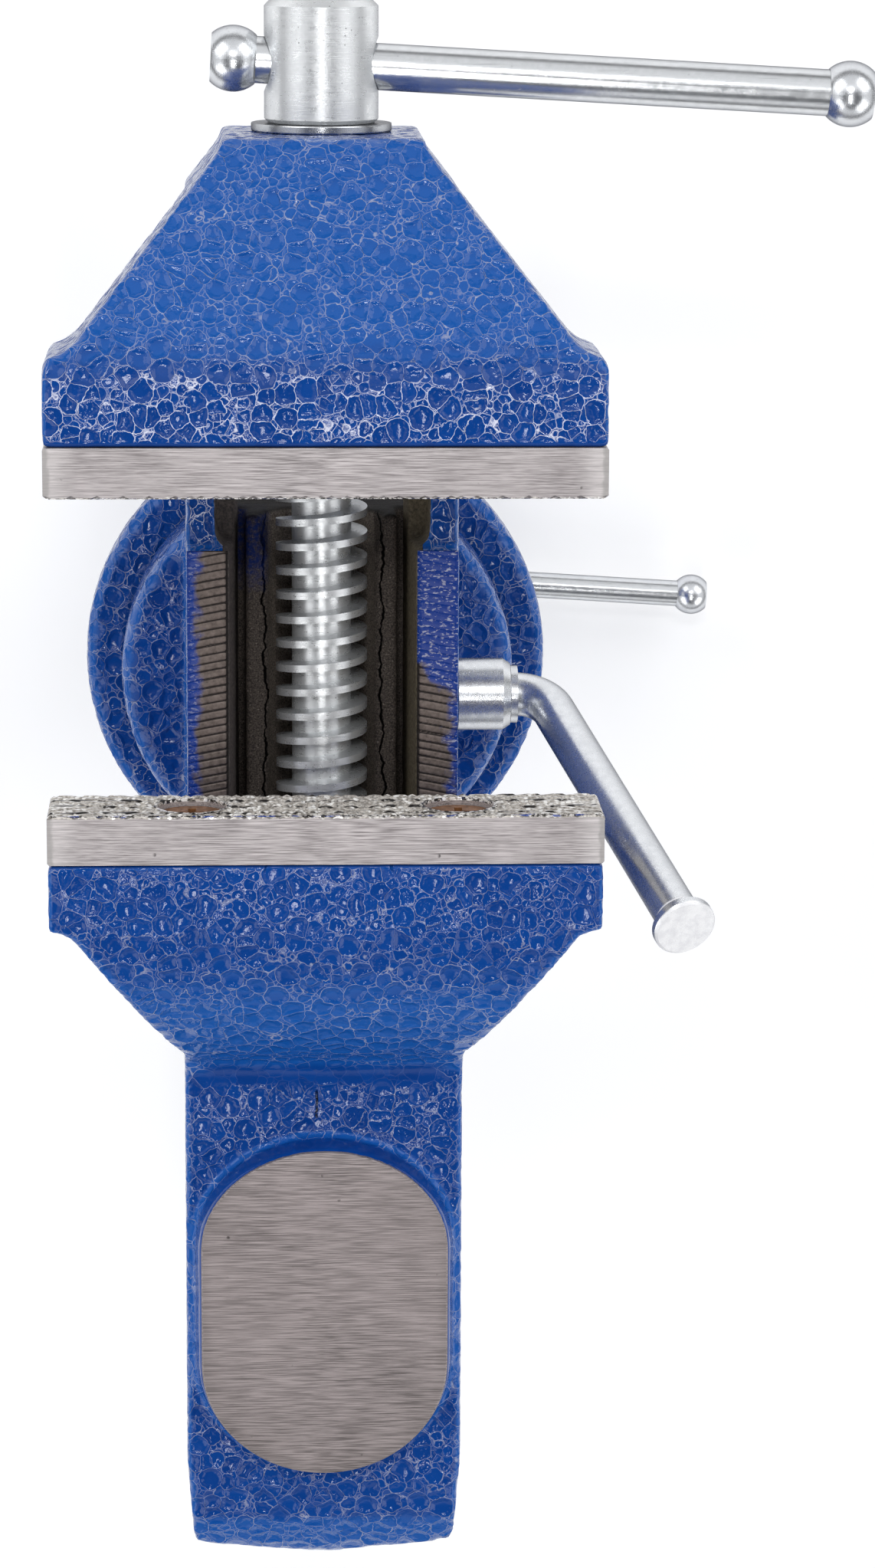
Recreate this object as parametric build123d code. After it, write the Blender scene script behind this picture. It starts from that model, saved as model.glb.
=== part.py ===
"""Clamp-on swivel vise with a small rear anvil.

Frame: origin on the underside of the round base, on the swivel axis.
+Z is up, -Y is the handle end (front), +Y is the anvil end (rear).
All sizes are millimetres; the pose is half-open jaws with both tommy bars slid to -X.
"""
import os
from math import cos, pi, radians, sin, sqrt, tan

from build123d import *

os.makedirs("parts", exist_ok=True)

# ---------------------------------------------------------------- driving dimensions
JAW_W = 70.0            # jaw width
JAW_TOP = 82.0          # top of both jaws above the table
PLATE_H = 13.0          # jaw plate height
PLATE_T = 6.3           # jaw plate thickness
FIX_FACE = 6.8          # Y of the fixed gripping face
MOV_FACE = -33.2        # Y of the moving gripping face at rest (40 mm open)
SCREW_X = 16.9          # plate screws, left and right of the middle
SCREW_Z = 75.6          # plate screw height

RAIL_TOP = 58.3         # milled top of the moving jaw's two arms
RAIL_BOT = 42.2         # underside of the arms
RAIL_OUT = 17.7         # outer side of the arms
RAIL_IN = 12.15         # inner side of the arms at their top
RAIL_IN_LOW = 10.85     # inner side of the arms at their bottom: cast draft
ARM_END = 70.0          # rear end of the arms
LAND_Y = -23.0          # front end of the milled land
RELIEF_Z = 56.9         # raw, unmilled arm top in front of the land

FRONT_Y = -76.3         # front face of the moving jaw
WALL_Y = -67.6          # inner side of the front wall
FRONT_HALF = 12.7       # half width of the front face

AXIS_Z = 49.5           # lead screw axis
SC_R = 6.0              # lead screw thread outside radius
SC_CORE = 3.9           # lead screw root radius
SC_PITCH = 3.2          # lead screw pitch, right hand, one start
SC_END = 70.0           # rear end of the lead screw
HEAD_R = 7.35           # lead screw head radius
HEAD_Y0 = -93.0         # front of the head
HEAD_Y1 = -77.4         # shoulder of the head
BAR_Y = -84.85          # tommy bar centre in the head
BAR_R = 3.0             # tommy bar radius
BAR_TILT = 3.15         # degrees, the far end leans to the rear
KNOB_R = 4.25           # tommy bar ball radius
KNOB_L = 5.8            # ball length between its flats
BAR_IN = 8.4            # head centre to the near ball
BAR_OUT = 65.4          # head centre to the far ball

BLOCK_HALF = 18.15      # half width of the rear block
BLOCK_BOT = 58.5        # underside of the rear block
BACK_R = 25.3           # rounding of the fixed jaw down to the block
NECK_Z = 65.0           # top of the block
ANVIL_Z = 70.0          # ground anvil face
ANVIL_HALF = 16.25      # anvil half width
ANVIL_F, ANVIL_S0, ANVIL_S1, ANVIL_R = 53.9, 67.5, 83.0, 98.1   # anvil outline along Y
REAR_Y = 110.4          # rear corners
REAR_MID = 113.2        # rear middle
WEB_GAP = 0.2           # room between the arms and the web
PED_TOP = 42.0          # guide shoulder under the arms
PED_FRONT = -26.6       # front of pedestal and screw rib
RIB_HALF = 10.1         # screw rib in front of the fixed jaw
MOUTH_R = 7.8           # wider front end of the trough
TROUGH_R = 6.9          # half-round trough in the rib
NUT_R = 8.3
NUT_Y0, NUT_Y1 = 18.0, 40.0

DRUM_R = 27.05          # round foot of the body
DRUM_TOP = 21.0
DRUM_BOT = 6.7
POST_R = 8.5            # swivel post radius
POST_TOP = 39.9
LOCK_Z = 35.5           # lock screw axis
LEVER_R = 2.9
LEVER_END = (-45.4, 21.6, 82.0)

BASE_R = 32.3           # base disc
BASE_T = 6.5
HUB_R = 19.5            # raised seat on the base disc
HUB_TOP = 10.5
SPINE_F, SPINE_B = -33.3, -21.5   # clamp spine front and back
SPINE_HALF = 10.5
BOSS_R = 12.0           # threaded boss of the clamp
BOSS_TOP, BOSS_BOT = -42.0, -58.0
CL_R, CL_CORE, CL_PITCH = 5.0, 3.9, 2.0   # clamp screw thread
CL_HEAD_R = 6.2
CL_HEAD_TOP, CL_HEAD_BOT = -63.0, -77.0
CL_BAR_Z = -70.0
CL_BAR_R = 2.0
CL_TILT = 3.6
CL_KNOB_R, CL_KNOB_L = 3.1, 4.6
CL_IN, CL_OUT = 6.8, 58.2
PAD_TOP, PAD_BOT, PAD_R = -14.5, -21.0, 11.0

MOV_CAST = MOV_FACE - PLATE_T     # casting face behind the moving plate
FIX_CAST = FIX_FACE + PLATE_T     # casting face behind the fixed plate
HALF = JAW_W / 2


def arm_inner(z):
    """Half distance between the arms at a height."""
    return RAIL_IN_LOW + (RAIL_IN - RAIL_IN_LOW) * (z - RAIL_BOT) / (RAIL_TOP - RAIL_BOT)


# ---------------------------------------------------------------- helpers
def prism(points, axis, a, b):
    """Polygon extruded along one axis: points are (x,y), (x,z) or (y,z)."""
    if axis == "z":
        w = [(p, q, a) for p, q in points]
        d = (0, 0, 1)
    elif axis == "y":
        w = [(p, a, q) for p, q in points]
        d = (0, 1, 0)
    else:
        w = [(a, p, q) for p, q in points]
        d = (1, 0, 0)
    face = Face(Wire.make_polygon([Vector(*v) for v in w], close=True))
    return extrude(face, amount=b - a, dir=d)


def mirrored(points):
    """Close a right-hand outline with its mirror image across the first coordinate."""
    left = [(-p, q) for p, q in reversed(points) if abs(p) > 1e-9]
    return list(points) + left


def cyl(r, a, b, axis="z", at=(0.0, 0.0)):
    c = Cylinder(r, b - a, align=(Align.CENTER, Align.CENTER, Align.MIN))
    if axis == "z":
        return Pos(at[0], at[1], a) * c
    if axis == "y":
        return Pos(at[0], a, at[1]) * Rot(-90, 0, 0) * c
    return Pos(a, at[0], at[1]) * Rot(0, 90, 0) * c


def box(x0, x1, y0, y1, z0, z1):
    return prism([(x0, y0), (x1, y0), (x1, y1), (x0, y1)], "z", z0, z1)


def turned(profile):
    """Solid of revolution about Z from (radius, z) points."""
    face = Face(Wire.make_polygon([Vector(r, 0, z) for r, z in profile], close=True))
    return revolve(face, Axis.Z, 360)


def ridge(core, out, pitch, length, root_w, crest_w, sink):
    """Right-hand thread ridge around Z, starting at z = 0 on the +X side."""
    path = Helix(pitch=pitch, height=length, radius=core)
    sk = make_face(Wire.make_polygon([
        Vector(core - sink, 0, -root_w / 2), Vector(core, 0, -root_w / 2),
        Vector(out, 0, -crest_w / 2), Vector(out, 0, crest_w / 2),
        Vector(core, 0, root_w / 2), Vector(core - sink, 0, root_w / 2)], close=True))
    return sweep(sk, path=path, is_frenet=True)


def soft(part, edges, r):
    """Round edges, smaller if the full radius does not fit."""
    for k in (1.0, 0.6, 0.35):
        try:
            out = fillet(edges, r * k)
            if out.is_valid and len(out.solids()) == len(part.solids()):
                return out
        except Exception:
            pass
    return part


def along(tilt, z, y):
    """Placement with local Z along a tommy bar: towards -X, leaning to +Y by tilt."""
    d = Vector(-cos(radians(tilt)), sin(radians(tilt)), 0)
    return Plane(origin=(0, y, z), x_dir=(0, 0, 1), z_dir=(d.X, d.Y, d.Z)).location


def knob(r, length, hole):
    """Forged ball end with flats, bored for the riveted bar end; local Z, from 0 to length."""
    n = 24
    h = length / 2
    a0 = -1.0 * h
    pts = []
    for i in range(n + 1):
        z = a0 + length * i / n
        pts.append((sqrt(max(r * r - z * z, 0.0)), z + h))
    prof = [(hole, 0.0)] + pts + [(hole, length)]
    return turned(prof)


def save(part, name):
    export_step(part, f"parts/{name}.step")
    s = part.solids()
    bb = part.bounding_box()
    print(f"{name:22s} solids {len(s)} valid {part.is_valid} vol {part.volume:9.1f} "
          f"x {bb.min.X:7.2f} {bb.max.X:7.2f} y {bb.min.Y:7.2f} {bb.max.Y:7.2f} z {bb.min.Z:7.2f} {bb.max.Z:7.2f}")


# ---------------------------------------------------------------- clamp frame (base)
disc = turned([(0, 0), (BASE_R - 0.8, 0), (BASE_R, 0.8), (BASE_R, BASE_T - 1.6),
               (BASE_R - 0.5, BASE_T - 0.5), (BASE_R - 1.6, BASE_T), (HUB_R + 0.6, BASE_T),
               (HUB_R, BASE_T + 0.6), (HUB_R, HUB_TOP - 0.6), (HUB_R - 0.6, HUB_TOP), (0, HUB_TOP)])
frame_side = prism([(SPINE_F + 2.5, 5.2), (SPINE_F, 2.0), (SPINE_F, -43.0), (SPINE_F + 2.0, -49.0),
                    (SPINE_F + 7.0, -54.0), (SPINE_F + 12.0, -55.5), (0, -55.5), (0, -44.5), (-13.0, -43.5),
                    (-18.5, -41.0), (SPINE_B, -36.0), (SPINE_B, 0.0), (SPINE_B, 5.2)], "x", -SPINE_HALF, SPINE_HALF)
frame_plan = prism(mirrored([(0, SPINE_F), (SPINE_HALF - 4.0, SPINE_F), (SPINE_HALF - 1.2, SPINE_F + 1.2),
                             (SPINE_HALF, SPINE_F + 4.0), (SPINE_HALF, 0.0), (0, 0.0)]), "z", -70, 20)
spine = frame_side & frame_plan
# long side hollows leave the spine with an I section
for sx in (1, -1):
    hollow = prism([(-29.6, -4.0), (-25.2, -4.0), (-25.2, -39.0), (-26.4, -41.5), (-28.0, -41.5), (-29.6, -38.5)],
                   "x", sx * SPINE_HALF - (2.6 if sx > 0 else 0.4), sx * SPINE_HALF + (0.4 if sx > 0 else 2.6))
    spine = spine - hollow
boss = turned([(0, BOSS_BOT), (BOSS_R - 1.5, BOSS_BOT), (BOSS_R, BOSS_BOT + 1.5), (BOSS_R, BOSS_TOP - 1.5),
               (BOSS_R - 1.5, BOSS_TOP), (0, BOSS_TOP)])
clamp_frame = disc + spine + boss
clamp_frame = clamp_frame - cyl(POST_R + 0.01, 1.5, 20)
cl_len = 70.0
cl_z0 = -80.0
cl_cut = Pos(0, 0, BOSS_BOT - 4.0) * ridge(CL_CORE + 0.32, CL_R + 0.32, CL_PITCH, 24.0, 1.84, 0.86, 0.5)
clamp_frame = clamp_frame - cyl(CL_CORE + 0.36, BOSS_BOT - 2, BOSS_TOP + 2) - cl_cut
save(clamp_frame, "clamp_frame")

swivel_post = turned([(0, 1.52), (POST_R - 0.6, 1.52), (POST_R, 2.1), (POST_R, LOCK_Z - 3.8), (POST_R - 1.2, LOCK_Z - 2.8),
                      (POST_R - 1.2, LOCK_Z + 2.7), (POST_R, LOCK_Z + 3.6), (POST_R, POST_TOP - 0.5), (POST_R - 0.5, POST_TOP),
                      (0, POST_TOP)])
save(swivel_post, "swivel_post")

# ---------------------------------------------------------------- clamp screw, pad and bar
cl_low = BOSS_BOT - 4.5
core = turned([(0, CL_HEAD_TOP - 0.5), (CL_CORE + 0.2, CL_HEAD_TOP - 0.5), (CL_CORE + 0.2, cl_low), (CL_CORE, cl_low + 0.4),
               (CL_CORE, -21.6), (3.2, -21.0), (3.2, -18.2), (2.4, -17.4), (0, -17.4)])
k0 = int((BOSS_BOT - 4.0 - cl_low) / CL_PITCH) + 3
thread = Pos(0, 0, BOSS_BOT - 4.0 - k0 * CL_PITCH) * ridge(CL_CORE, CL_R, CL_PITCH, 54.0, 1.5, 0.5, 0.3)
thread = thread & cyl(CL_R + 1, cl_low, -22.0)
cl_head = turned([(0, CL_HEAD_BOT), (CL_HEAD_R - 0.9, CL_HEAD_BOT), (CL_HEAD_R, CL_HEAD_BOT + 0.9),
                  (CL_HEAD_R, CL_HEAD_TOP - 0.7), (CL_HEAD_R - 0.7, CL_HEAD_TOP), (0, CL_HEAD_TOP)])
clamp_screw = core + thread + cl_head
clamp_screw = clamp_screw - cyl(CL_BAR_R + 0.62, -10, 10, "x", (0, CL_BAR_Z))
save(clamp_screw, "clamp_screw")

clamp_pad = turned([(3.55, PAD_BOT), (6.2, PAD_BOT), (6.9, PAD_BOT + 0.7), (7.2, PAD_BOT + 2.6), (PAD_R - 0.4, PAD_BOT + 3.6),
                    (PAD_R, PAD_BOT + 4.2), (PAD_R, PAD_TOP - 0.6), (PAD_R - 0.6, PAD_TOP), (PAD_R - 1.8, PAD_TOP),
                    (PAD_R - 2.6, PAD_TOP - 0.5), (0, PAD_TOP - 0.5), (0, -17.1), (3.55, -17.1)])
save(clamp_pad, "clamp_pad")

cl_place = along(CL_TILT, CL_BAR_Z, 0.0)
clamp_bar = turned([(0, -CL_IN - CL_KNOB_L), (1.4, -CL_IN - CL_KNOB_L), (1.4, -CL_IN), (CL_BAR_R, -CL_IN), (CL_BAR_R, CL_OUT),
                    (1.4, CL_OUT), (1.4, CL_OUT + CL_KNOB_L), (0, CL_OUT + CL_KNOB_L)])
save(cl_place * clamp_bar, "clamp_bar")
save(cl_place * Pos(0, 0, -CL_IN - CL_KNOB_L) * knob(CL_KNOB_R, CL_KNOB_L, 1.41), "clamp_bar_knob_left")
save(cl_place * Pos(0, 0, CL_OUT) * knob(CL_KNOB_R, CL_KNOB_L, 1.41), "clamp_bar_knob_right")

# ---------------------------------------------------------------- fixed jaw body
fx_plan = mirrored([(HALF, FIX_CAST), (HALF, 21.8), (33.5, 22.1), (32.4, 22.6), (31.4, 23.6), (BLOCK_HALF + 0.1, 40.8),
                    (BLOCK_HALF, 41.4), (BLOCK_HALF, 98.0), (17.3, REAR_Y), (15.0, REAR_Y + 0.7), (0, REAR_MID)])
fx_sec = mirrored([(HALF, 90), (HALF, 63.2), (34.0, 61.6), (BLOCK_HALF, BLOCK_BOT), (0, BLOCK_BOT)])
shoulder = [(19.5 + BACK_R * sin(radians(a)), JAW_TOP - BACK_R * (1 - cos(radians(a)))) for a in range(4, 57, 4)]
fx_side = [(FIX_CAST, BLOCK_BOT - 1), (FIX_CAST, JAW_TOP), (19.5, JAW_TOP)] + shoulder + [(42.4, 67.3), (43.1, 66.4), (44.1, 65.65),
           (45.4, 65.2), (47.2, NECK_Z), (101.0, NECK_Z), (106.5, 63.8), (111.0, 61.2), (114.5, BLOCK_BOT - 1)]
upper = prism(fx_plan, "z", 50, 90) & prism(fx_sec, "y", 10, 120) & prism(fx_side, "x", -40, 40)


def oval(grow, z):
    """Anvil outline: two half ellipses joined by straight sides."""
    w = min(ANVIL_HALF + grow, BLOCK_HALF - 0.1)
    f = ANVIL_S0 - ANVIL_F + grow
    r = ANVIL_R - ANVIL_S1 + grow
    pl = Plane.XY.offset(z)
    with BuildLine(pl) as ln:
        EllipticalCenterArc((0, ANVIL_S1), w, r, start_angle=0, arc_size=180)
        Line((-w, ANVIL_S1), (-w, ANVIL_S0))
        EllipticalCenterArc((0, ANVIL_S0), w, f, start_angle=180, arc_size=180)
        Line((w, ANVIL_S0), (w, ANVIL_S1))
    return make_face(ln.line)


anvil = loft([oval(0.8, NECK_Z - 0.5), oval(0.0, ANVIL_Z)], ruled=True)
pedestal = prism([(PED_FRONT, PED_TOP), (PED_FRONT, 26.0), (PED_FRONT + 1.5, 22.5), (PED_FRONT + 3.5, 19.0), (20.0, 19.0),
                  (23.0, 22.0), (28.0, 25.5), (38.0, 29.8), (55.0, 33.0), (80.0, 34.6), (REAR_Y, 35.2), (REAR_Y, PED_TOP)],
                 "x", -RAIL_OUT, RAIL_OUT)
web_low, web_high = PED_TOP - 0.5, BLOCK_BOT + 0.5
web = prism(mirrored([(arm_inner(web_low) - WEB_GAP, web_low), (arm_inner(web_high) - WEB_GAP, web_high)]), "y", FIX_CAST, REAR_Y)
rib = box(-RIB_HALF, RIB_HALF, PED_FRONT, FIX_CAST + 0.5, PED_TOP - 0.5, AXIS_Z)
drum = turned([(0, DRUM_BOT), (DRUM_R - 0.5, DRUM_BOT), (DRUM_R, DRUM_BOT + 0.5), (DRUM_R, DRUM_TOP - 2.0),
               (DRUM_R - 0.6, DRUM_TOP - 0.6), (DRUM_R - 2.0, DRUM_TOP), (0, DRUM_TOP)])
fixed = upper + anvil + web + pedestal + rib + drum
fixed = fixed - cyl(TROUGH_R, PED_FRONT - 2, FIX_CAST, "y", (0, AXIS_Z))
fixed = fixed - cyl(MOUTH_R, PED_FRONT - 2, PED_FRONT + 4.5, "y", (0, AXIS_Z))   # room for the washer and pin
fixed = fixed - cyl(SC_R + 0.6, FIX_CAST - 1, NUT_Y0 + 1, "y", (0, AXIS_Z))
fixed = fixed - cyl(NUT_R, NUT_Y0, REAR_MID + 5, "y", (0, AXIS_Z))
fixed = fixed - cyl(HUB_R + 0.4, DRUM_BOT - 1, HUB_TOP + 0.35)
fixed = fixed - cyl(POST_R + 0.06, DRUM_BOT, POST_TOP + 0.4)
fixed = fixed - cyl(4.06, -20, -6, "x", (0, LOCK_Z))
fixed = fixed - cyl(2.01, 15, AXIS_Z - NUT_R + 0.5, "z", (0, 33.0))
for sx in (SCREW_X, -SCREW_X):
    fixed = fixed - cyl(2.52, FIX_CAST - 1, FIX_CAST + 11.5, "y", (sx, SCREW_Z))
save(fixed, "fixed_jaw_body")

# ---------------------------------------------------------------- lead nut and its set screw
nut = cyl(NUT_R - 0.01, NUT_Y0 + 0.02, NUT_Y1, "y", (0, AXIS_Z)) - cyl(SC_CORE + 0.42, NUT_Y0 - 1, NUT_Y1 + 1, "y", (0, AXIS_Z))
SC_T0 = -57.6           # helix start of the lead screw
k = int((NUT_Y0 - 5 - SC_T0) / SC_PITCH)
nut_y = SC_T0 + k * SC_PITCH
nut_cut = Pos(0, nut_y, AXIS_Z) * Rot(-90, 0, 0) * ridge(SC_CORE + 0.4, SC_R + 0.4, SC_PITCH, 32.0, 2.2, 1.65, 0.6)
nut = nut - nut_cut
nut = nut - cyl(2.01, AXIS_Z - NUT_R - 1, AXIS_Z - NUT_R + 1.2, "z", (0, 33.0))
save(nut, "lead_nut")
set_screw = turned([(0, 28.6), (1.7, 28.6), (2.0, 28.9), (2.0, AXIS_Z - NUT_R + 0.8), (1.6, AXIS_Z - NUT_R + 1.1), (0, AXIS_Z - NUT_R + 1.1)])
set_screw = Pos(0, 33.0, 0) * (set_screw - box(-0.4, 0.4, -3, 3, 28, 29.8))
save(set_screw, "nut_set_screw")


# ---------------------------------------------------------------- jaw plates and their screws
def jaw_plate():
    """Plate with its gripping face on the plane Y = 0 and its back at Y = -PLATE_T."""
    z0 = JAW_TOP - PLATE_H
    p = prism([(-HALF + 0.25, -PLATE_T), (HALF - 0.25, -PLATE_T), (HALF, -PLATE_T + 0.25), (HALF, -0.4), (HALF - 0.4, 0),
               (-HALF + 0.4, 0), (-HALF, -0.4), (-HALF, -PLATE_T + 0.25)], "z", z0, JAW_TOP)
    zc = JAW_TOP - PLATE_H / 2
    depth, pitch, half_w = 0.42, 2.7, 0.46
    for ang in (28.0, -28.0):
        tools = []
        n = int((JAW_W / 2 * sin(radians(28)) + PLATE_H / 2) / pitch) + 1
        for i in range(-n, n + 1):
            v = prism([(-half_w, 0.02), (half_w, 0.02), (0.0, -depth)], "z", -60, 60)   # groove along local Z
            v = Rot(0, 90 - ang, 0) * v
            off = Vector(sin(radians(ang)), 0, cos(radians(ang))) * (i * pitch)
            tools.append(Pos(off.X, 0, zc + off.Z) * v)
        p = p - tools
    for sx in (SCREW_X, -SCREW_X):
        sink = revolve(Face(Wire.make_polygon([Vector(0, 1, 0), Vector(4.4, 1, 0), Vector(4.4, -1.0, 0), Vector(2.7, -2.7, 0),
                                               Vector(2.7, -PLATE_T - 1, 0), Vector(0, -PLATE_T - 1, 0)], close=True)), Axis.Y, 360)
        p = p - Pos(sx, 0, SCREW_Z) * sink
    return p


def plate_screw():
    """Countersunk screw, head towards +Y, tip towards -Y, for a plate with its face at Y = 0."""
    s = revolve(Face(Wire.make_polygon([Vector(0, -0.9, 0), Vector(4.1, -0.9, 0), Vector(4.1, -1.05, 0), Vector(2.47, -2.68, 0),
                                        Vector(2.47, -16.0, 0), Vector(1.9, -16.6, 0), Vector(0, -16.6, 0)], close=True)), Axis.Y, 360)
    cross = box(-2.4, 2.4, -2.4, -0.5, -0.5, 0.5) + box(-0.5, 0.5, -2.4, -0.5, -2.4, 2.4)
    return s - cross


plate = jaw_plate()
mov_plate = Pos(0, MOV_FACE, 0) * plate
fix_plate = Pos(0, FIX_FACE, 0) * Rot(0, 0, 180) * plate
save(mov_plate, "moving_jaw_plate")
save(fix_plate, "fixed_jaw_plate")
scr = plate_screw()
save(Compound([Pos(sx, MOV_FACE, SCREW_Z) * scr for sx in (SCREW_X, -SCREW_X)]), "moving_plate_screws")
save(Compound([Pos(sx, FIX_FACE, SCREW_Z) * Rot(0, 0, 180) * scr for sx in (SCREW_X, -SCREW_X)]), "fixed_plate_screws")

# ---------------------------------------------------------------- moving jaw body
mj_plan = mirrored([(HALF, MOV_CAST), (HALF, -49.6), (34.2, -50.5), (32.6, -51.0), (31.2, -52.0), (FRONT_HALF + 0.6, -74.6),
                    (FRONT_HALF, FRONT_Y), (0, FRONT_Y)])
mj_sec = mirrored([(HALF, 90), (HALF, 63.2), (34.0, 61.6), (RAIL_OUT + 1.6, 54.0), (RAIL_OUT, 52.4), (RAIL_OUT, 36.0), (0, 36.0)])
mj_side = [(MOV_CAST, JAW_TOP), (-44.6, JAW_TOP), (-46.6, 81.87), (-48.4, 81.5), (-50.2, 80.9), (-51.9, 80.1), (-53.4, 79.25), (FRONT_Y + 1.2, 66.0), (FRONT_Y, 64.6), (FRONT_Y, 38.0),
           (FRONT_Y + 1.6, 36.2), (WALL_Y, 36.2), (WALL_Y, RAIL_BOT), (MOV_CAST, RAIL_BOT)]
head = prism(mj_plan, "z", 30, 90) & prism(mj_sec, "y", -80, -35) & prism(mj_side, "x", -40, 40)
head = head - prism(mirrored([(arm_inner(30), 30), (arm_inner(57.4), 57.4), (RAIL_IN - 1.6, 59.0)]), "y", WALL_Y, MOV_CAST + 1)
arms = []
for sx in (1, -1):
    a, b = sorted((sx * RAIL_IN, sx * RAIL_OUT))
    arm = prism([(sx * RAIL_IN, RAIL_TOP), (sx * RAIL_OUT, RAIL_TOP), (sx * RAIL_OUT, RAIL_BOT), (sx * RAIL_IN_LOW, RAIL_BOT)],
                "y", MOV_CAST - 6, ARM_END)
    arm = arm - box(a - 1, b + 1, MOV_CAST, LAND_Y, RELIEF_Z, RAIL_TOP + 1)
    pocket = [(sx * (RAIL_IN - 2), MOV_CAST), (sx * 13.9, MOV_CAST), (sx * 13.9, LAND_Y - 2.4), (sx * 13.55, LAND_Y - 1.2),
              (sx * 12.9, LAND_Y - 0.4), (sx * (RAIL_IN - 2), LAND_Y)]
    arm = arm - prism(pocket, "z", 48.0, RAIL_TOP + 1)
    arms.append(arm)
moving = head + arms[0] + arms[1]
moving = moving - cyl(SC_R + 0.12, FRONT_Y - 1, WALL_Y + 1, "y", (0, AXIS_Z))
for sx in (SCREW_X, -SCREW_X):
    moving = moving - cyl(2.52, MOV_CAST - 11.5, MOV_CAST + 1, "y", (sx, SCREW_Z))
save(moving, "moving_jaw_body")

# ---------------------------------------------------------------- lead screw and what holds it in the moving jaw
ph = AXIS_Z


def on_screw(part):
    return Pos(0, 0, ph) * Rot(-90, 0, 0) * part      # local Z becomes +Y


PIN_Y = WALL_Y + 3.1
body = turned([(0, HEAD_Y0), (HEAD_R - 0.8, HEAD_Y0), (HEAD_R, HEAD_Y0 + 0.8), (HEAD_R, HEAD_Y1 - 0.5), (HEAD_R - 0.5, HEAD_Y1),
               (SC_R, HEAD_Y1), (SC_R, -58.0), (SC_R - 0.5, -57.4), (SC_CORE, -57.4), (SC_CORE, SC_END - 0.8),
               (SC_CORE - 0.8, SC_END), (0, SC_END)])
lead_thread = Pos(0, 0, SC_T0) * ridge(SC_CORE, SC_R, SC_PITCH, 134.0, 1.5, 0.95, 0.35)
lead_thread = lead_thread & cyl(SC_R + 1, -57.9, SC_END - 0.9)
lead = body + lead_thread
lead = lead - Pos(0, 0, BAR_Y) * Rot(0, 90, 0) * Cylinder(BAR_R + 0.58, 40)
lead = lead - Pos(0, 0, PIN_Y) * Rot(90, 0, 0) * Cylinder(1.51, 40)
save(on_screw(lead), "lead_screw")
save(on_screw(turned([(SC_R + 0.1, -77.35), (9.0, -77.35), (9.05, -77.2), (9.05, -76.5), (9.0, -76.35), (SC_R + 0.1, -76.35)])), "thrust_washer")
save(on_screw(turned([(SC_R + 0.08, WALL_Y + 0.2), (7.1, WALL_Y + 0.2), (7.1, WALL_Y + 1.45), (SC_R + 0.08, WALL_Y + 1.45)])), "retaining_washer")
pin = turned([(0, -7.1), (1.2, -7.1), (1.5, -6.7), (1.5, 6.7), (1.2, 7.1), (0, 7.1)])
save(on_screw(Pos(0, 0, PIN_Y) * Rot(90, 0, 0) * pin), "retaining_pin")

# ---------------------------------------------------------------- main tommy bar
place = along(BAR_TILT, AXIS_Z, BAR_Y)
bar = turned([(0, -BAR_IN - KNOB_L), (2.1, -BAR_IN - KNOB_L), (2.1, -BAR_IN), (BAR_R, -BAR_IN), (BAR_R, BAR_OUT),
              (2.1, BAR_OUT), (2.1, BAR_OUT + KNOB_L), (0, BAR_OUT + KNOB_L)])
save(place * bar, "handle_bar")
save(place * Pos(0, 0, -BAR_IN - KNOB_L) * knob(KNOB_R, KNOB_L, 2.11), "handle_knob_left")
save(place * Pos(0, 0, BAR_OUT) * knob(KNOB_R, KNOB_L, 2.11), "handle_knob_right")

# ---------------------------------------------------------------- swivel lock
lock = turned([(0, 7.55), (1.7, 7.55), (2.2, 8.1), (2.2, 9.6), (4.0, 11.2), (4.0, 18.0), (4.35, 18.05), (4.85, 18.6), (4.85, 24.6),
               (4.2, 25.6), (3.9, 25.7), (3.9, 26.6), (0, 26.6)])
lock = lock - cyl(LEVER_R + 0.02, 21.0, 30)
lock = Pos(0, 0, LOCK_Z) * Rot(0, -90, 0) * lock
save(lock, "lock_screw")
path = FilletPolyline((-21.02, 0, LOCK_Z), (-30.2, 0, LOCK_Z), LEVER_END, radius=5.6)
rod_face = make_face(Plane(origin=(-21.02, 0, LOCK_Z), z_dir=(-1, 0, 0)) * Circle(LEVER_R))
rod = sweep(rod_face, path=path)
d = (Vector(*LEVER_END) - Vector(-30.2, 0, LOCK_Z)).normalized()
cap_pl = Plane(origin=LEVER_END, z_dir=(d.X, d.Y, d.Z))
cap = cap_pl.location * turned([(0, -2.6), (LEVER_R - 0.1, -2.6), (3.7, -1.7), (4.1, -1.2), (4.1, -0.35), (3.75, 0.0), (0, 0)])
save(rod + cap, "lock_lever")
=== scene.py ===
import math

import bmesh
import bpy
import numpy as np
from mathutils import Matrix, Vector


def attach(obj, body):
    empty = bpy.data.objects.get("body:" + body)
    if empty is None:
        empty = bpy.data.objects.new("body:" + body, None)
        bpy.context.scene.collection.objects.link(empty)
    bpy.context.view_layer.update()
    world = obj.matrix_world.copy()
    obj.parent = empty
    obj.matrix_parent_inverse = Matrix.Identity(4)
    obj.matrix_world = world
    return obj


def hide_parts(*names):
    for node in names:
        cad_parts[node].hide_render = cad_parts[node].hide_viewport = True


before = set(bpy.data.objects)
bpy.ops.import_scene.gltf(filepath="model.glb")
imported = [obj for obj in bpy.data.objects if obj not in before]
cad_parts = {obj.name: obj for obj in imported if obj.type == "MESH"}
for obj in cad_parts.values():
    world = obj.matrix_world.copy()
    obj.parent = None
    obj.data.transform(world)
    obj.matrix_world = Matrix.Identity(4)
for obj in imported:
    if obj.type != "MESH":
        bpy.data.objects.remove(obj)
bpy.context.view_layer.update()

SCENE = bpy.context.scene
SCENE.view_settings.view_transform = "Standard"
SCENE.view_settings.look = "None"

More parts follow.
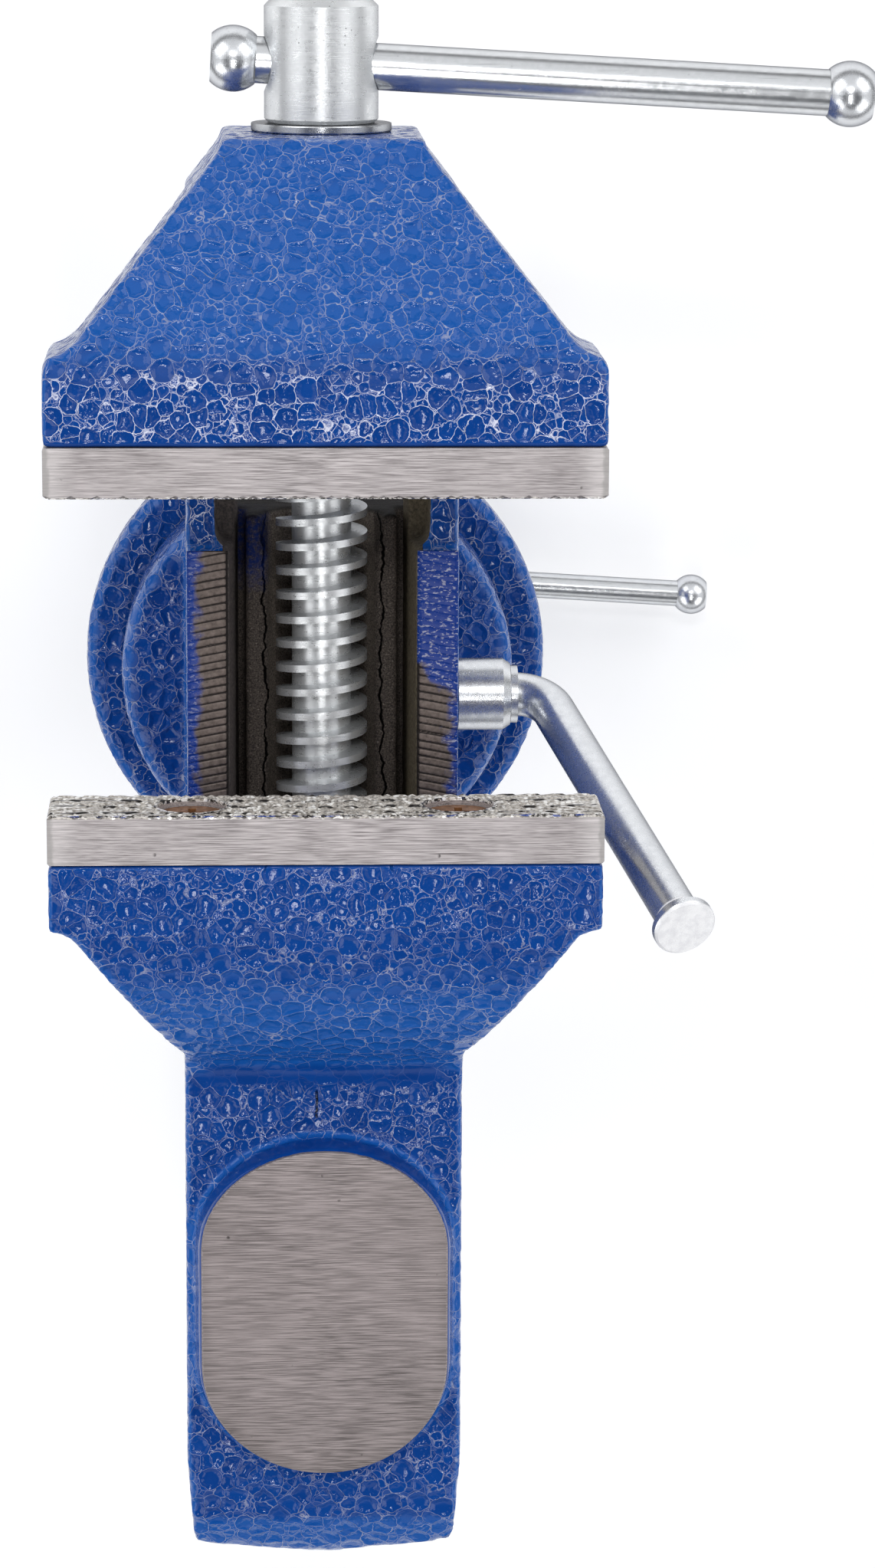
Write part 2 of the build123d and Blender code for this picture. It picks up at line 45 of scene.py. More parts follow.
# ------------------------------------------------------------------ sizes, mm, repeated from the construction
JAW_TOP = 82.0
FIX_CAST, MOV_CAST = 13.1, -39.5
FIX_FACE, MOV_FACE = 6.8, -33.2
RAIL_TOP, RAIL_BOT, RAIL_IN, RAIL_OUT = 58.3, 42.2, 12.15, 17.7
PED_FRONT = -26.6
LAND_Y, ARM_END = -23.0, 70.0
ANVIL_Z, ANVIL_HALF = 70.0, 16.25
ANVIL_Y = (53.9, 67.5, 83.0, 98.1)
AXIS_Z = 49.5


# ------------------------------------------------------------------ node helper, for shader and geometry trees alike
class G:
    def __init__(self, tree):
        self.t = tree
        self.k = 0

    def n(self, kind, **props):
        node = self.t.nodes.new(kind)
        node.location = (180 * (self.k % 40), -220 * (self.k // 40))
        self.k += 1
        for name, v in props.items():
            setattr(node, name, v)
        return node

    def put(self, sock, v):
        if isinstance(v, bpy.types.NodeSocket):
            self.t.links.new(v, sock)
        elif v is not None:
            sock.default_value = v

    def math(self, op, a, b=None, c=None, clamp=False):
        m = self.n("ShaderNodeMath", operation=op, use_clamp=clamp)
        for s, v in zip(m.inputs, (a, b, c)):
            self.put(s, v)
        return m.outputs[0]

    def add(self, a, b): return self.math("ADD", a, b)
    def sub(self, a, b): return self.math("SUBTRACT", a, b)
    def mul(self, a, b): return self.math("MULTIPLY", a, b)
    def mn(self, a, b): return self.math("MINIMUM", a, b)
    def mx(self, a, b): return self.math("MAXIMUM", a, b)
    def ab(self, a): return self.math("ABSOLUTE", a)
    def inv(self, a): return self.math("SUBTRACT", 1.0, a)

    def vec(self, op, a, b=None, scale=None):
        m = self.n("ShaderNodeVectorMath", operation=op)
        self.put(m.inputs[0], a)
        if b is not None:
            self.put(m.inputs[1], b)
        if scale is not None:
            self.put(m.inputs["Scale"], scale)
        return m.outputs["Value"] if op in ("LENGTH", "DISTANCE", "DOT_PRODUCT") else m.outputs[0]

    def xyz(self, v):
        return self.n_sep(v)

    def n_sep(self, v):
        s = self.n("ShaderNodeSeparateXYZ")
        self.put(s.inputs[0], v)
        return s.outputs[0], s.outputs[1], s.outputs[2]

    def comb(self, x, y, z):
        s = self.n("ShaderNodeCombineXYZ")
        for q, v in zip(s.inputs, (x, y, z)):
            self.put(q, v)
        return s.outputs[0]

    def step(self, v, a, b, lo=0.0, hi=1.0):
        """Smooth step of v from a to b."""
        m = self.n("ShaderNodeMapRange", interpolation_type="SMOOTHSTEP")
        if a > b:
            a, b, lo, hi = b, a, hi, lo
        for s, q in zip(m.inputs[:5], (v, a, b, lo, hi)):
            self.put(s, q)
        return m.outputs[0]

    def ramp(self, v, a, b, lo=0.0, hi=1.0):
        m = self.n("ShaderNodeMapRange", interpolation_type="LINEAR", clamp=True)
        for s, q in zip(m.inputs[:5], (v, a, b, lo, hi)):
            self.put(s, q)
        return m.outputs[0]

    def band(self, v, a, b, soft):
        return self.mul(self.step(v, a - soft, a + soft), self.step(v, b + soft, b - soft))

    def noise(self, v, scale, detail=2.0, rough=0.5, out=0, dist=0.0):
        m = self.n("ShaderNodeTexNoise", noise_dimensions="3D")
        self.put(m.inputs["Vector"], v)
        self.put(m.inputs["Scale"], scale)
        self.put(m.inputs["Detail"], detail)
        self.put(m.inputs["Roughness"], rough)
        self.put(m.inputs["Distortion"], dist)
        return m.outputs[out]

    def voro(self, v, scale, feature="F1", rnd=1.0):
        m = self.n("ShaderNodeTexVoronoi", voronoi_dimensions="3D", feature=feature)
        self.put(m.inputs["Vector"], v)
        self.put(m.inputs["Scale"], scale)
        self.put(m.inputs["Randomness"], rnd)
        return m

    def mix(self, f, a, b):
        """Colour mix."""
        m = self.n("ShaderNodeMix", data_type="RGBA", clamp_factor=True)
        self.put(m.inputs[0], f)
        for s, v in ((m.inputs[6], a), (m.inputs[7], b)):
            self.put(s, (*v, 1.0) if isinstance(v, tuple) and len(v) == 3 else v)
        return m.outputs[2]

    def lerp(self, f, a, b):
        m = self.n("ShaderNodeMix", data_type="FLOAT", clamp_factor=True)
        self.put(m.inputs[0], f)
        self.put(m.inputs[2], a)
        self.put(m.inputs[3], b)
        return m.outputs[0]


def lin(r, g, b):
    """sRGB 0-255 to linear."""
    f = lambda c: c / 12.92 if c <= 0.04045 else ((c + 0.055) / 1.055) ** 2.4
    return tuple(f(v / 255.0) for v in (r, g, b))


# ------------------------------------------------------------------ hammered enamel: one pattern for shape and colour
BIG, MID, SMALL = 2.4, 1.35, 0.55     # cell spacing, mm
DISH = 0.115        # depth of the large cells, mm
DISH_M = 0.06      # depth of the middle cells
DISH_S = 0.015      # depth of the small cells


def hammer(g, p):
    """p in mm. Round cells of three sizes, the smaller ones filling what the larger leave, with veins between them.
    Gives the dish depth in mm, the vein mask and a value per cell."""
    warp = g.vec("SUBTRACT", g.noise(p, 0.8, 2.0, 0.5, 1), (0.5, 0.5, 0.5))
    q = g.vec("ADD", p, g.vec("SCALE", warp, scale=0.75))
    big = g.voro(q, 1 / BIG)
    edge = g.voro(q, 1 / BIG, "DISTANCE_TO_EDGE").outputs[0]
    pick = g.n_sep(big.outputs["Color"])
    spread = g.noise(p, 0.16, 2.0)
    use = g.step(g.add(pick[1], g.mul(g.sub(spread, 0.5), 0.9)), 0.10, 0.12)
    m1 = g.mn(g.sub(0.68, big.outputs["Distance"]), g.mul(edge, 1.3))
    in1 = g.mul(g.step(m1, -0.004, 0.03), use)
    q2 = g.vec("ADD", p, g.vec("SCALE", warp, scale=0.45))
    mid = g.voro(q2, 1 / MID)
    edge2 = g.voro(q2, 1 / MID, "DISTANCE_TO_EDGE").outputs[0]
    m2 = g.mn(g.sub(0.66, mid.outputs["Distance"]), g.mul(edge2, 1.3))
    in2 = g.mul(g.step(m2, -0.01, 0.05), g.inv(in1))
    e3 = g.voro(q2, 1 / SMALL, "DISTANCE_TO_EDGE").outputs[0]
    in3 = g.mul(g.inv(in1), g.inv(in2))
    bowl1 = g.mul(g.step(m1, -0.01, 0.36), in1)
    bowl2 = g.mul(g.step(m2, -0.01, 0.36), in2)
    bowl3 = g.mul(g.step(e3, 0.0, 0.3), in3)
    dish = g.add(g.mul(bowl1, DISH), g.add(g.mul(bowl2, DISH_M), g.mul(bowl3, DISH_S)))
    width = g.add(0.008, g.mul(g.noise(p, 1.1, 2.0), 0.036))
    line = lambda m, w: g.math("SUBTRACT", 1.0, g.math("DIVIDE", g.ab(m), w), clamp=True)
    l1 = g.mul(line(m1, width), use)
    l2 = g.mul(line(m2, g.mul(width, 1.8)), g.inv(in1))
    l3 = g.mul(line(e3, g.mul(width, 3.0)), in3)
    vein = g.mx(l1, g.mx(g.mul(l2, 0.7), g.mul(l3, 0.35)))
    tone = g.lerp(in1, g.n_sep(mid.outputs["Color"])[0], pick[0])
    return {"dish": dish, "vein": vein, "tone": tone}


def masks_fixed(g, p):
    """Where the fixed casting is bare: web, ribs and trough, and the block's underside. Then where the paint lies smooth."""
    x, y, z = g.n_sep(p)
    ax = g.ab(x)
    wob = g.mul(g.sub(g.noise(p, 0.22, 3.0), 0.5), 1.0)
    raw = g.mul(g.mul(g.step(ax, 12.6, 12.2), g.band(z, 41.4, 58.7, 0.25)), g.step(y, 109.6, 108.6))
    # The pedestal's front face counts as bare iron here so that it can take the near-black painted shade of the gap
    # under the moving jaw.
    end = g.mul(g.mul(g.step(ax, 14.5, 12.5), g.band(g.add(z, g.mul(wob, 0.6)), 33.0, 58.7, 0.4)), g.step(y, PED_FRONT + 2.0, PED_FRONT + 1.0))
    under = g.mul(g.band(z, 57.8, 58.75, 0.12), g.mul(g.step(ax, 17.4, 17.0), g.step(y, 109.6, 108.6)))
    ped = g.mul(g.mul(g.band(z, 41.4, 42.5, 0.2), g.step(ax, 16.8, 16.2)), g.step(y, -22.4, -21.6))
    raw = g.mx(g.mx(g.mx(raw, under), ped), end)
    # smooth paint: a bead beside the plate, a band at the foot of the slope, the anvil's own flank
    bead = g.mul(g.step(y, FIX_CAST + 0.7, FIX_CAST + 0.3), g.step(z, 66.0, 68.0))
    flank = g.mul(g.band(z, 66.0, 71.0, 0.5), g.step(y, 51.0, 52.0))
    foot = g.mul(g.band(g.add(y, g.mul(wob, 1.2)), 43.3, 46.4, 0.7), g.mul(g.step(z, 63.5, 64.5), g.step(ax, 17.2, 14.0)))
    smooth = g.mx(g.mx(bead, flank), g.mul(foot, 0.9))
    top = g.mul(g.step(z, 69.5, 69.7), g.step(y, 52.0, 53.0))
    return raw, smooth, top, wob


def masks_moving(g, p):
    x, y, z = g.n_sep(p)
    ax = g.ab(x)
    wob = g.mul(g.sub(g.noise(p, 0.22, 3.0), 0.5), 1.0)
    inner = g.mul(g.mul(g.step(ax, 13.2, 12.7), g.step(z, 58.9, 58.4)), g.step(y, -41.0, -40.0))
    pocket = g.mul(g.mul(g.step(ax, 14.6, 14.2), g.step(z, 56.6, 56.2)), g.mul(g.step(y, -41.0, -40.0), g.step(y, -22.0, -22.6)))
    land = g.mul(g.step(z, 57.9, 58.1), g.step(y, LAND_Y - 0.3, LAND_Y + 0.1))
    low = g.step(z, 42.9, 42.5)
    end = g.step(y, ARM_END - 0.7, ARM_END - 0.4)
    raw = g.mx(g.mx(inner, pocket), g.mx(land, g.mul(low, g.step(y, -41, -40))))
    raw = g.mx(raw, end)
    bead = g.mul(g.step(y, MOV_CAST - 1.15, MOV_CAST - 0.55), g.step(z, 66.0, 68.0))
    top = g.mul(g.step(z, 57.6, 57.9), g.step(y, LAND_Y - 0.4, LAND_Y))
    return raw, bead, top, wob


def masks_clamp(g, p):
    x, y, z = g.n_sep(p)
    wob = g.mul(g.sub(g.noise(p, 0.22, 3.0), 0.5), 1.0)
    rad = g.vec("LENGTH", g.comb(x, y, 0.0))
    raw = g.mx(g.mul(g.step(rad, 19.6, 19.2), g.step(z, 6.0, 6.6)), g.mul(g.step(rad, 6.6, 6.2), g.step(z, -30.0, -31.0)))
    top = g.mul(raw, 0.0)
    return raw, g.mul(raw, 1.0), top, wob




def displaced(name, node, voxel, smooth, masks, drop=0.12, sink=0.0):
    """A hammered skin grown from the casting's own surface: rounded, then dished cell by cell."""
    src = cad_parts[node]
    me = src.data.copy()
    ob = bpy.data.objects.new(name, me)
    SCENE.collection.objects.link(ob)
    me.materials.clear()
    bm = bmesh.new()
    bm.from_mesh(me)
    bmesh.ops.remove_doubles(bm, verts=bm.verts, dist=1e-6)
    bm.to_mesh(me)
    bm.free()
    rm = ob.modifiers.new("remesh", "REMESH")
    rm.mode = "VOXEL"
    rm.voxel_size = voxel / 1000
    rm.use_smooth_shade = True
    sm = ob.modifiers.new("soften", "SMOOTH")
    sm.factor = 0.5
    sm.iterations = smooth
    tree = bpy.data.node_groups.new(name + "_skin", "GeometryNodeTree")
    tree.interface.new_socket("Geometry", in_out="INPUT", socket_type="NodeSocketGeometry")
    tree.interface.new_socket("Geometry", in_out="OUTPUT", socket_type="NodeSocketGeometry")
    g = G(tree)
    gi, go = g.n("NodeGroupInput"), g.n("NodeGroupOutput")
    p = g.vec("SCALE", g.n("GeometryNodeInputPosition").outputs[0], scale=1000.0)
    h = hammer(g, p)
    raw, smoothed, top, wob = masks(g, p)
    paint = g.mul(g.inv(raw), g.inv(smoothed))
    dish = g.mul(g.mul(h["dish"], -1.0), paint)
    rough = g.mul(g.mul(g.sub(g.noise(p, 0.45, 4.0, 0.6), 0.55), 0.5), raw)
    swell = g.mul(g.mul(wob, 0.16), g.inv(raw))
    lower = g.add(g.mul(top, -drop), g.mul(raw, -sink))
    off = g.mul(g.add(g.add(g.add(dish, g.mn(rough, 0.0)), g.mn(swell, 0.02)), lower), 0.001)
    nv = g.vec("SCALE", g.n("GeometryNodeInputNormal").outputs[0], scale=off)
    sp = g.n("GeometryNodeSetPosition")
    tree.links.new(gi.outputs[0], sp.inputs["Geometry"])
    tree.links.new(nv, sp.inputs["Offset"])
    tree.links.new(sp.outputs[0], go.inputs[0])
    gm = ob.modifiers.new("skin", "NODES")
    gm.node_group = tree
    dg = bpy.context.evaluated_depsgraph_get()
    dg.update()
    done = bpy.data.meshes.new_from_object(ob.evaluated_get(dg))
    ob.modifiers.clear()
    ob.data = done
    bpy.data.meshes.remove(me)
    bpy.data.node_groups.remove(tree)
    for poly in done.polygons:
        poly.use_smooth = True
    done.name = name
    return ob


# ------------------------------------------------------------------ materials
def material(name):
    m = bpy.data.materials.new(name)
    m.use_nodes = True
    t = m.node_tree
    t.nodes.clear()
    g = G(t)
    out = g.n("ShaderNodeOutputMaterial")
    b = g.n("ShaderNodeBsdfPrincipled")
    t.links.new(b.outputs[0], out.inputs[0])
    p = g.vec("SCALE", g.n("ShaderNodeTexCoord").outputs["Object"], scale=1000.0)
    return m, g, b, p


def bump(g, b, height, dist, strength=1.0, into="Normal"):
    n = g.n("ShaderNodeBump")
    g.put(n.inputs["Height"], height)
    n.inputs["Distance"].default_value = dist / 1000
    n.inputs["Strength"].default_value = strength
    g.put(b.inputs[into], n.outputs[0])
    return n


BLUE = lin(5, 54, 127)
# Lighter blue for tilted faces: partly thinner paint, partly painted light.
BLUE_THIN_AND_LIT = lin(20, 85, 166)
BLUE_LIGHT = lin(10, 70, 150)
VEIN = lin(178, 180, 196)
IRON = lin(66, 62, 64)
IRON_LIGHT = lin(112, 104, 98)


def rib_iron(g, p, iron, fine):
    """The unmachined iron round the screw: dark and sandy, split by a wandering crack on either side, blue drifted on at the front."""
    x, y, z = g.n_sep(p)
    ax = g.ab(x)
    grain = g.noise(p, 4.5, 3.0, 0.7)
    sand = g.mix(g.ramp(grain, 0.35, 0.7), lin(42, 39, 38), lin(108, 99, 92))
    sand = g.mix(g.step(grain, 0.64, 0.74, 0.0, 0.7), sand, lin(184, 176, 168))
    inside = g.mul(g.step(ax, 11.2, 10.8), g.mul(g.step(z, 38.0, 40.0), g.step(y, 14.5, 13.5)))
    trough = g.mul(inside, g.step(ax, 7.2, 6.8))
    iron = g.mix(inside, iron, sand)
    # The trough round the screw takes a lighter iron: painted light that lifts the shade in the deep groove.
    iron = g.mix(g.mul(trough, 0.75), iron, g.mix(g.ramp(grain, 0.35, 0.7), lin(84, 77, 71), lin(164, 153, 142)))
    away = g.noise(g.vec("MULTIPLY", p, (0.02, 0.16, 0.02)), 1.0, 4.0, 0.65)
    side = g.step(x, -0.5, 0.5)
    where = g.add(g.lerp(side, 7.9, 7.4), g.mul(g.sub(away, 0.5), 3.4))
    wide = g.ramp(g.noise(p, 0.5, 3.0), 0.3, 0.7, 0.08, 0.3)
    crack = g.mul(g.math("SUBTRACT", 1.0, g.math("DIVIDE", g.ab(g.sub(ax, where)), wide), clamp=True), g.mul(inside, g.step(z, 45.0, 46.5)))
    iron = g.mix(g.step(crack, 0.0, 0.5), iron, lin(6, 5, 5))
    front = g.step(g.add(y, g.mul(g.sub(g.noise(p, 0.3, 4.0, 0.6), 0.5), 9.0)), -15.5, -21.0)
    spray = g.mul(g.mul(front, g.step(x, 6.2, 8.0)), g.mul(inside, g.ramp(g.noise(p, 1.6, 4.0, 0.6), 0.38, 0.6, 0.25, 0.9)))
    iron = g.mix(spray, iron, lin(14, 40, 104))
    # Painted shade: the pedestal's front face goes near-black for the dark gap under the moving jaw.
    end = g.step(y, PED_FRONT + 0.8, PED_FRONT + 0.2)
    iron = g.mix(g.mul(end, 0.95), iron, g.mix(g.ramp(fine, 0.35, 0.7), lin(17, 16, 17), lin(40, 37, 36)))
    return iron, crack


def enamel(name, masks, body=None):
    m, g, b, p = material(name)
    h = hammer(g, p)
    raw, smooth, top, wob = masks(g, p)
    raw = g.step(g.add(raw, g.mul(wob, 0.5)), 0.45, 0.6)
    cell = g.mix(g.ramp(h["tone"], 0.0, 1.0, 0.0, 0.55), BLUE, BLUE_LIGHT)
    shade = g.noise(p, 0.06, 2.0)
    cell = g.mix(g.mul(shade, 0.35), cell, BLUE_LIGHT)
    up = g.n_sep(g.n("ShaderNodeNewGeometry").outputs["Normal"])[2]
    # Tilted faces take the lighter blue: partly thinner paint on slopes, partly painted light for the light that falls
    # on slopes and not on flats.
    cell = g.mix(g.mul(g.mul(g.step(up, 0.985, 0.84), g.step(up, 0.05, 0.35)), g.inv(smooth)), cell, BLUE_THIN_AND_LIT)
    vein = g.mul(h["vein"], g.inv(smooth))
    vein = g.mul(vein, g.ramp(g.noise(p, 0.4, 3.0), 0.3, 0.62, 0.3, 0.95))
    line = VEIN
    flat = g.step(g.add(up, g.mul(wob, 0.04)), 0.95, 0.985)
    if body == "fixed":
        vein = g.mul(vein, g.lerp(flat, 1.0, 0.78))
    # On the moving jaw's flats the veins are denser and near-white: a painted highlight for the glints there.
    if body == "moving":
        vein = g.mn(g.mul(vein, g.lerp(flat, 1.0, 1.5)), 1.0)
        line = g.mix(flat, VEIN, lin(222, 224, 240))
    paint = g.mix(g.mul(vein, 0.85), cell, line)
    fine = g.noise(p, 2.2, 5.0, 0.65)
    iron = g.mix(g.ramp(fine, 0.35, 0.75), IRON, IRON_LIGHT)
    crack = None
    if body == "fixed":
        iron, crack = rib_iron(g, p, iron, fine)
    elif body == "moving":
        iron = g.mix(g.step(g.n_sep(p)[0], -6.0, -8.0, 0.0, 0.7), iron, g.mix(g.ramp(fine, 0.35, 0.75), lin(78, 71, 56), lin(122, 112, 88)))
    colour = g.mix(raw, paint, iron)
    if body == "fixed":
        # a short dark seam on top of the block, in front of the anvil
        x, y, z = g.n_sep(p)
        wave = g.mul(g.sub(g.noise(p, 1.1, 2.0), 0.5), 0.7)
        seam = g.mul(g.band(g.add(x, wave), 0.86, 1.14, 0.06), g.mul(g.band(y, 47.2, 50.8, 0.3), g.step(z, 63.0, 64.0)))
        colour = g.mix(g.mul(seam, g.ramp(g.noise(p, 2.0, 2.0), 0.3, 0.55, 0.5, 1.0)), colour, lin(14, 16, 24))
        crack = g.mx(crack, seam)
    g.put(b.inputs["Base Color"], colour)
    g.put(b.inputs["Roughness"], g.lerp(raw, g.lerp(vein, 0.24, 0.4), 0.72))
    g.put(b.inputs["Coat Weight"], g.lerp(raw, 0.6, 0.0))
    b.inputs["Coat Roughness"].default_value = 0.07
    b.inputs["Specular IOR Level"].default_value = 0.04
    hb = g.mul(g.mul(h["dish"], -1.5), g.mul(g.inv(raw), g.inv(smooth)))
    hb = g.add(hb, g.mul(g.mul(fine, 0.09), raw))
    if crack is not None:
        hb = g.add(hb, g.mul(crack, -0.25))
    hb = g.add(hb, g.mul(g.mul(g.noise(p, 3.0, 2.0), 0.012), g.inv(raw)))
    nb = bump(g, b, hb, 1.0, 1.0)
    g.put(b.inputs["Coat Normal"], nb.outputs[0])
    return m


def ground(name, axis="x", base=(191, 184, 184), dark=(116, 110, 110), scale=1.0, ends=None):
    """Ground steel: fine uneven streaks along one axis, a few pits, a paler band toward each end that is a painted
    reflection, and a grey strip at the very ends.
    """
    m, g, b, p = material(name)
    st = {"x": (0.16, 6.5, 6.5), "y": (6.5, 0.16, 6.5), "z": (6.5, 6.5, 0.16)}[axis]
    q = g.vec("MULTIPLY", p, st)
    q2 = g.vec("MULTIPLY", p, tuple(v * 2.0 if v > 1 else v * 1.8 for v in st))
    s1 = g.noise(q, 1.0 * scale, 3.0, 0.65)
    s2 = g.noise(q2, 1.0 * scale, 2.0, 0.6)
    streak = g.add(g.mul(s1, 0.55), g.mul(s2, 0.45))
    blot = g.noise(p, 0.11, 3.0)
    pit = g.step(g.voro(p, 0.33).outputs["Distance"], 0.10, 0.05)
    pit = g.mul(pit, g.step(g.noise(p, 0.5, 1.0), 0.48, 0.6))
    c = g.mix(g.ramp(streak, 0.41, 0.59), lin(*dark), lin(*base))
    c = g.mix(g.ramp(blot, 0.35, 0.75, 0.0, 0.35), c, lin(*[min(255, int(v * 1.08)) for v in base]))
    if ends:
        x = g.ab(g.n_sep(p)[0])
        worn = g.step(g.add(x, g.mul(g.sub(g.noise(p, 0.9, 2.0), 0.5), 0.9)), ends - 0.25, ends + 0.25)
        # Painted reflection: the plate top pales toward each end.
        c = g.mix(g.step(x, 30.5, 34.0, 0.0, 0.3), c, lin(236, 231, 230))
        c = g.mix(g.mul(worn, 0.7), c, lin(150, 147, 145))
    c = g.mix(g.mul(pit, 0.8), c, lin(40, 36, 34))
    if ends:
        # the gripping faces: painted highlights as small bright facets, and painted shade as dark rows in the valleys
        y = g.n_sep(p)[1]
        y = g.add(y, g.mul(g.sub(g.noise(p, 1.1, 4.0, 0.65), 0.5), 0.8))
        face = g.mul(g.step(y, FIX_FACE + 0.40, FIX_FACE + 0.28), g.step(y, MOV_FACE - 0.18, MOV_FACE - 0.08))
        z = g.n_sep(p)[2]
        wave = g.add(g.mul(g.sub(g.noise(p, 0.5, 3.0), 0.5), 0.9), g.mul(g.sub(g.noise(p, 0.07, 2.0), 0.5), 3.0))
        row = g.math("FRACT", g.mul(g.add(z, wave), 0.27))
        row = g.mul(g.step(g.ab(g.sub(row, 0.5)), 0.13, 0.07), g.step(g.noise(p, 0.8, 2.0), 0.40, 0.50))
        chip = g.voro(g.vec("MULTIPLY", p, (1.3, 0.4, 2.2)), 1.0)
        lit = g.step(g.n_sep(chip.outputs["Color"])[0], 0.35, 0.55)
        lit = g.mul(lit, g.step(chip.outputs["Distance"], 0.6, 0.3))
        grip = g.mix(g.ramp(g.noise(p, 2.5, 3.0), 0.38, 0.62), lin(142, 136, 128), lin(214, 208, 200))
        grip = g.mix(lit, grip, lin(255, 253, 249))
        grip = g.mix(row, grip, lin(34, 31, 29))
        c = g.mix(face, c, grip)
    g.put(b.inputs["Base Color"], c)
    b.inputs["Metallic"].default_value = 0.35
    g.put(b.inputs["Roughness"], g.ramp(streak, 0.3, 0.7, 0.5, 0.36))
    hgt = g.add(g.mul(streak, 0.03), g.mul(pit, -0.08))
    bump(g, b, hgt, 1.0, 0.5)
    return m


def plated(name, base, rough, along=None, grime=0.0, metal=1.0, speck=0.0, grain=None, frost=None):
    """Plated steel: bright, faint turning lines across its axis, light handling marks."""
    m, g, b, p = material(name)
    n1 = g.noise(p, 0.9, 4.0, 0.6)
    fine = g.noise(p, 6.0, 2.0)
    if along:
        st = {"x": (7.0, 0.25, 0.25), "y": (0.25, 7.0, 0.25), "z": (0.25, 0.25, 7.0)}[along]
        fine = g.noise(g.vec("MULTIPLY", p, st), 1.0, 3.0, 0.7)
    if grain:
        st = {"x": (0.12, 3.2, 3.2), "y": (3.2, 0.12, 3.2), "z": (3.2, 3.2, 0.12)}[grain]
        fine = g.noise(g.vec("MULTIPLY", p, st), 1.0, 4.0, 0.7)
    spots = g.mul(g.step(g.voro(p, 1.3).outputs["Distance"], 0.16, 0.06), g.step(g.noise(p, 0.6, 2.0), 0.5, 0.62))
    c = g.mix(g.ramp(n1, 0.3, 0.75, 0.0, 0.5), base, tuple(v * 0.82 for v in base))
    c = g.mix(g.mul(spots, grime), c, lin(60, 58, 56))
    if grain:
        c = g.mix(g.step(fine, 0.55, 0.72, 0.0, 0.45), c, tuple(v * 0.5 for v in base))
    b.inputs["Specular Tint"].default_value = (0.22, 0.22, 0.23, 1.0)
    if frost:
        near = g.step(g.vec("LENGTH", g.vec("SUBTRACT", p, frost)), 4.15, 3.95)
        c = g.mix(near, c, g.mix(g.ramp(n1, 0.4, 0.62), (0.9, 0.9, 0.91), (0.78, 0.78, 0.8)))
        g.put(b.inputs["Metallic"], g.lerp(near, metal, 0.1))
    else:
        b.inputs["Metallic"].default_value = metal
    g.put(b.inputs["Base Color"], c)
    g.put(b.inputs["Roughness"], g.ramp(g.add(g.mul(n1, 0.6), g.mul(fine, 0.4)), 0.3, 0.7, rough * 0.7, rough * 1.35))
    bump(g, b, g.add(g.mul(fine, 0.05 if along else 0.012), g.mul(n1, 0.02 + speck)), 1.0, 0.5)
    return m


def rail_steel(name):
    """Milled iron with a brown-grey cast, dark in the tool marks, and blue drifted over from the painted sides."""
    m, g, b, p = material(name)
    x, y, z = g.n_sep(p)
    ax = g.ab(x)
    fine = g.noise(p, 1.6, 5.0, 0.6)
    low = g.step(z, RAIL_TOP - 0.01, RAIL_TOP - 0.07)
    c = g.mix(g.ramp(fine, 0.3, 0.7), lin(86, 77, 73), lin(130, 118, 112))
    c = g.mix(g.mul(low, 0.9), c, lin(30, 27, 27))
    drift = g.noise(p, 0.35, 4.0, 0.62)
    side = g.step(x, -1.0, 1.0)                       # 1 on the +X rail
    edge = g.add(g.mul(g.sub(ax, RAIL_OUT - 2.3), 0.55), g.mul(g.sub(drift, 0.5), 2.4))
    front = g.step(y, LAND_Y + 9.0, LAND_Y)
    left = g.step(g.add(edge, g.mul(front, 0.3)), 0.1, 0.75)
    far = g.step(y, -3.0, -12.0)
    right = g.step(g.add(g.add(g.mul(edge, 0.8), g.mul(far, 3.2)), g.mul(g.sub(drift, 0.5), 0.6)), 0.25, 0.9)
    paint = g.lerp(side, right, left)
    vein = g.mul(g.step(g.noise(g.vec("MULTIPLY", p, (0.6, 1.2, 1.0)), 2.3, 4.0, 0.6), 0.55, 0.61), g.lerp(side, 0.8, 0.4))
    blue = g.mix(vein, lin(8, 54, 140), lin(176, 178, 200))
    g.put(b.inputs["Base Color"], g.mix(g.mul(paint, 0.93), c, blue))
    g.put(b.inputs["Metallic"], g.mul(g.inv(paint), 0.45))
    g.put(b.inputs["Roughness"], g.lerp(paint, g.ramp(fine, 0.3, 0.7, 0.4, 0.6), 0.25))
    b.inputs["Specular IOR Level"].default_value = 0.15
    bump(g, b, g.add(g.mul(fine, 0.04), g.mul(g.mul(vein, paint), 0.05)), 1.0, 0.5)
    return m


def oxide(name, a, c, rough):
    m, g, b, p = material(name)
    n1 = g.noise(p, 1.4, 5.0, 0.65)
    n2 = g.noise(p, 0.3, 2.0)
    col = g.mix(g.ramp(n1, 0.32, 0.72), lin(*a), lin(*c))
    col = g.mix(g.ramp(n2, 0.4, 0.7, 0.0, 0.4), col, lin(*[int(v * 0.7) for v in a]))
    g.put(b.inputs["Base Color"], col)
    b.inputs["Metallic"].default_value = 0.6
    g.put(b.inputs["Roughness"], g.ramp(n1, 0.3, 0.7, rough * 0.8, rough * 1.2))
    bump(g, b, n1, 0.05, 0.5)
    return m


